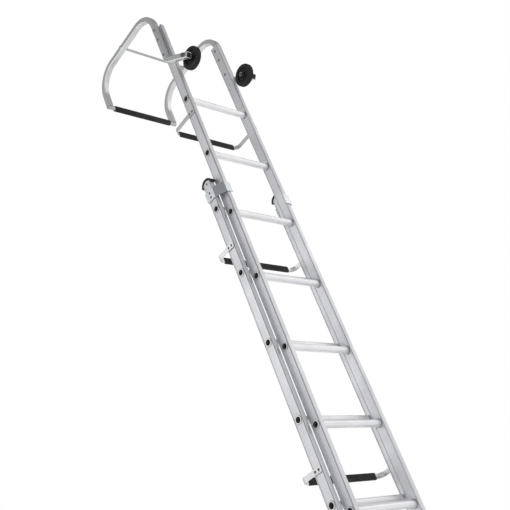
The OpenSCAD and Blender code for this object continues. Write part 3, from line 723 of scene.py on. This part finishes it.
class LADDER_OT_stage(bpy.types.Operator):
    """Makes the floor, the light and the camera"""

    bl_idname = "roof_ladder.stage"
    bl_label = "Stage"

    def execute(self, context):
        scene = context.scene
        stage = scene.ladder_stage
        self.floor(scene, stage)
        self.room(scene, stage)
        self.lamp(scene, "front_lamp", stage.front_place, stage.front_size, stage.front_power)
        self.lamp(scene, "rear_lamp", stage.rear_place, stage.rear_size, stage.rear_power)
        self.camera(scene, stage)
        scene.view_settings.view_transform = "Standard"
        return {"FINISHED"}

    def floor(self, scene, stage):
        """Matt painted floor, faintly mottled: pale round the ladder, white further off."""
        half = 40
        mottle_mm = 600
        low = CAD_BOX[0].z
        mesh = bpy.data.meshes.new("studio_floor")
        corners = [(x * half, y * half, low) for x, y in ((-1, -1), (1, -1), (1, 1), (-1, 1))]
        mesh.from_pydata(corners, [], [(0, 1, 2, 3)])
        floor = bpy.data.objects.new("studio_floor", mesh)
        scene.collection.objects.link(floor)
        material, tree, shader, place = start_material("pale_studio_floor")
        mottle = add(
            tree, "ShaderNodeTexNoise", {"Vector": place, "Scale": per_mm(mottle_mm), "Detail": 3.0}
        ).outputs["Fac"]
        dark = shade(stage.floor, 0.98)
        light = shade(stage.floor, 1.02)
        tone = add(
            tree, "ShaderNodeMix", {MIX_SHARE: mottle, COLOUR_A: dark, COLOUR_B: light}, data_type="RGBA"
        ).outputs[COLOUR_OUT]
        tree.links.new(tone, shader.inputs["Base Color"])
        shader.inputs["Roughness"].default_value = 0.9
        # Far from the ladder the floor is as white as the room behind it; near it, the ladder's shadow shows
        across = add(tree, "ShaderNodeVectorMath", {0: place, 1: (1, 1, 0)}, operation="MULTIPLY")
        distance = add(tree, "ShaderNodeVectorMath", {0: across.outputs[0]}, operation="LENGTH")
        far = add(
            tree, "ShaderNodeMapRange",
            {"Value": distance.outputs["Value"], "From Min": stage.white_from, "From Max": stage.white_to},
            interpolation_type="SMOOTHSTEP",
        )
        white_far = add(
            tree, "ShaderNodeMath", {0: far.outputs[0], 1: self.seen_rays(tree)}, operation="MULTIPLY"
        )
        white = add(tree, "ShaderNodeEmission", {"Color": WHITE, "Strength": 1.0})
        both = add(
            tree, "ShaderNodeMixShader",
            {0: white_far.outputs[0], 1: shader.outputs[0], 2: white.outputs[0]},
        )
        tree.links.new(both.outputs[0], tree.nodes["Material Output"].inputs["Surface"])
        mesh.materials.append(material)

    def seen_rays(self, tree):
        """One for rays that show the background, straight or in metal and glass, and nothing for the rest."""
        rays = add(tree, "ShaderNodeLightPath").outputs
        seen = rays["Is Camera Ray"]
        for kind in ("Is Glossy Ray", "Is Transmission Ray"):
            seen = add(tree, "ShaderNodeMath", {0: seen, 1: rays[kind]}, operation="MAXIMUM").outputs[0]
        return seen

    def room(self, scene, stage):
        """Soft even light; white to the camera, and in metal a white room with darker parts."""
        world = bpy.data.worlds.new("studio_room")
        scene.world = world
        world.use_nodes = True
        tree = world.node_tree
        tree.nodes.clear()
        soft = add(tree, "ShaderNodeBackground", {"Color": WHITE, "Strength": stage.fill})
        # Seen in metal, the darker side draws the edges of the stiles, and the ceiling and the lowest
        # walls give the ladder its change of tone from top to bottom
        looking = add(tree, "ShaderNodeTexCoord").outputs["Generated"]
        towards = add(
            tree, "ShaderNodeVectorMath", {0: looking, 1: Vector(stage.dark_side).normalized()},
            operation="DOT_PRODUCT",
        ).outputs["Value"]
        height = add(tree, "ShaderNodeSeparateXYZ", {0: looking}).outputs[2]
        # Cosines of the angle to the middle of the darker side, and heights of a direction of length one
        dark_rim = 0.9
        dark_core = 0.98
        low_wall = 0.22
        high_wall = 0.44
        ceiling = 0.68
        level = 1.0
        for value, start, end, at_start, at_end in (
            (towards, dark_rim, dark_core, 1.0, stage.dark_level),
            (height, high_wall, ceiling, 1.0, stage.ceiling_level),
            (height, low_wall, high_wall, stage.horizon_level, 1.0),
        ):
            fade = add(
                tree, "ShaderNodeMapRange",
                {"Value": value, "From Min": start, "From Max": end, "To Min": at_start, "To Max": at_end},
                interpolation_type="SMOOTHSTEP",
            )
            level = add(
                tree, "ShaderNodeMath", {0: level, 1: fade.outputs[0]}, operation="MULTIPLY"
            ).outputs[0]
        rays = add(tree, "ShaderNodeLightPath").outputs
        mirrored = add(
            tree, "ShaderNodeMix", {MIX_SHARE: rays["Is Glossy Ray"], NUMBER_A: 1.0, NUMBER_B: level},
            data_type="FLOAT",
        )
        white = add(tree, "ShaderNodeBackground", {"Color": WHITE, "Strength": mirrored.outputs[0]})
        both = add(
            tree, "ShaderNodeMixShader",
            {0: self.seen_rays(tree), 1: soft.outputs[0], 2: white.outputs[0]},
        )
        add(tree, "ShaderNodeOutputWorld", {"Surface": both.outputs[0]})

    def lamp(self, scene, name, place, size, power):
        """A soft square lamp that shines at the ladder."""
        light = bpy.data.lights.new(name, "AREA")
        light.size = size
        light.energy = power
        lamp = bpy.data.objects.new(name, light)
        scene.collection.objects.link(lamp)
        lamp.location = place
        aim = Vector(scene.ladder_stage.lamp_aim) - lamp.location
        lamp.rotation_euler = aim.to_track_quat("-Z", "Y").to_euler()

    def camera(self, scene, stage):
        """The camera, with its view set by what is forward and what is up."""
        camera = bpy.data.cameras.new("photo_camera")
        camera.sensor_fit = "HORIZONTAL"
        camera.sensor_width = SENSOR_MM
        camera.lens = stage.lens
        camera.clip_end = 100
        holder = bpy.data.objects.new("photo_camera", camera)
        scene.collection.objects.link(holder)
        back = -Vector(stage.camera_forward).normalized()
        right = Vector(stage.camera_up).cross(back).normalized()
        up = back.cross(right)
        turn = Matrix((right, up, back)).transposed()
        holder.matrix_world = Matrix.Translation(stage.camera_place) @ turn.to_4x4()
        scene.camera = holder


class LADDER_PT_panel(bpy.types.Panel):
    """Lists the ladder's pieces"""

    bl_idname = "LADDER_PT_panel"
    bl_label = "Roof Ladder"
    bl_space_type = "VIEW_3D"
    bl_region_type = "UI"
    bl_category = "Roof Ladder"

    def draw(self, context):
        for step in STEPS:
            self.layout.operator(step.bl_idname)


STEPS = (
    LADDER_OT_stiles,
    LADDER_OT_rungs,
    LADDER_OT_hook,
    LADDER_OT_pad_strips,
    LADDER_OT_steelwork,
    LADDER_OT_mouldings,
    LADDER_OT_sleeves,
    LADDER_OT_tyres,
    LADDER_OT_stage,
)
GROUPS = {"ladder_finishes": LadderFinishes, "ladder_sizes": LadderSizes, "ladder_stage": LadderStage}


def register():
    """Registers the classes and hangs the settings on the scene."""
    for kind in (*GROUPS.values(), *STEPS, LADDER_PT_panel):
        bpy.utils.register_class(kind)
    for name, kind in GROUPS.items():
        setattr(bpy.types.Scene, name, PointerProperty(type=kind))


def unregister():
    """Takes back what register did."""
    for name in GROUPS:
        delattr(bpy.types.Scene, name)
    for kind in (LADDER_PT_panel, *reversed(STEPS), *GROUPS.values()):
        bpy.utils.unregister_class(kind)


def main():
    """Makes the pieces and the stage in order."""
    register()
    for step in STEPS:
        group, name = step.bl_idname.split(".")
        getattr(getattr(bpy.ops, group), name)()


if __name__ == "__main__":
    main()
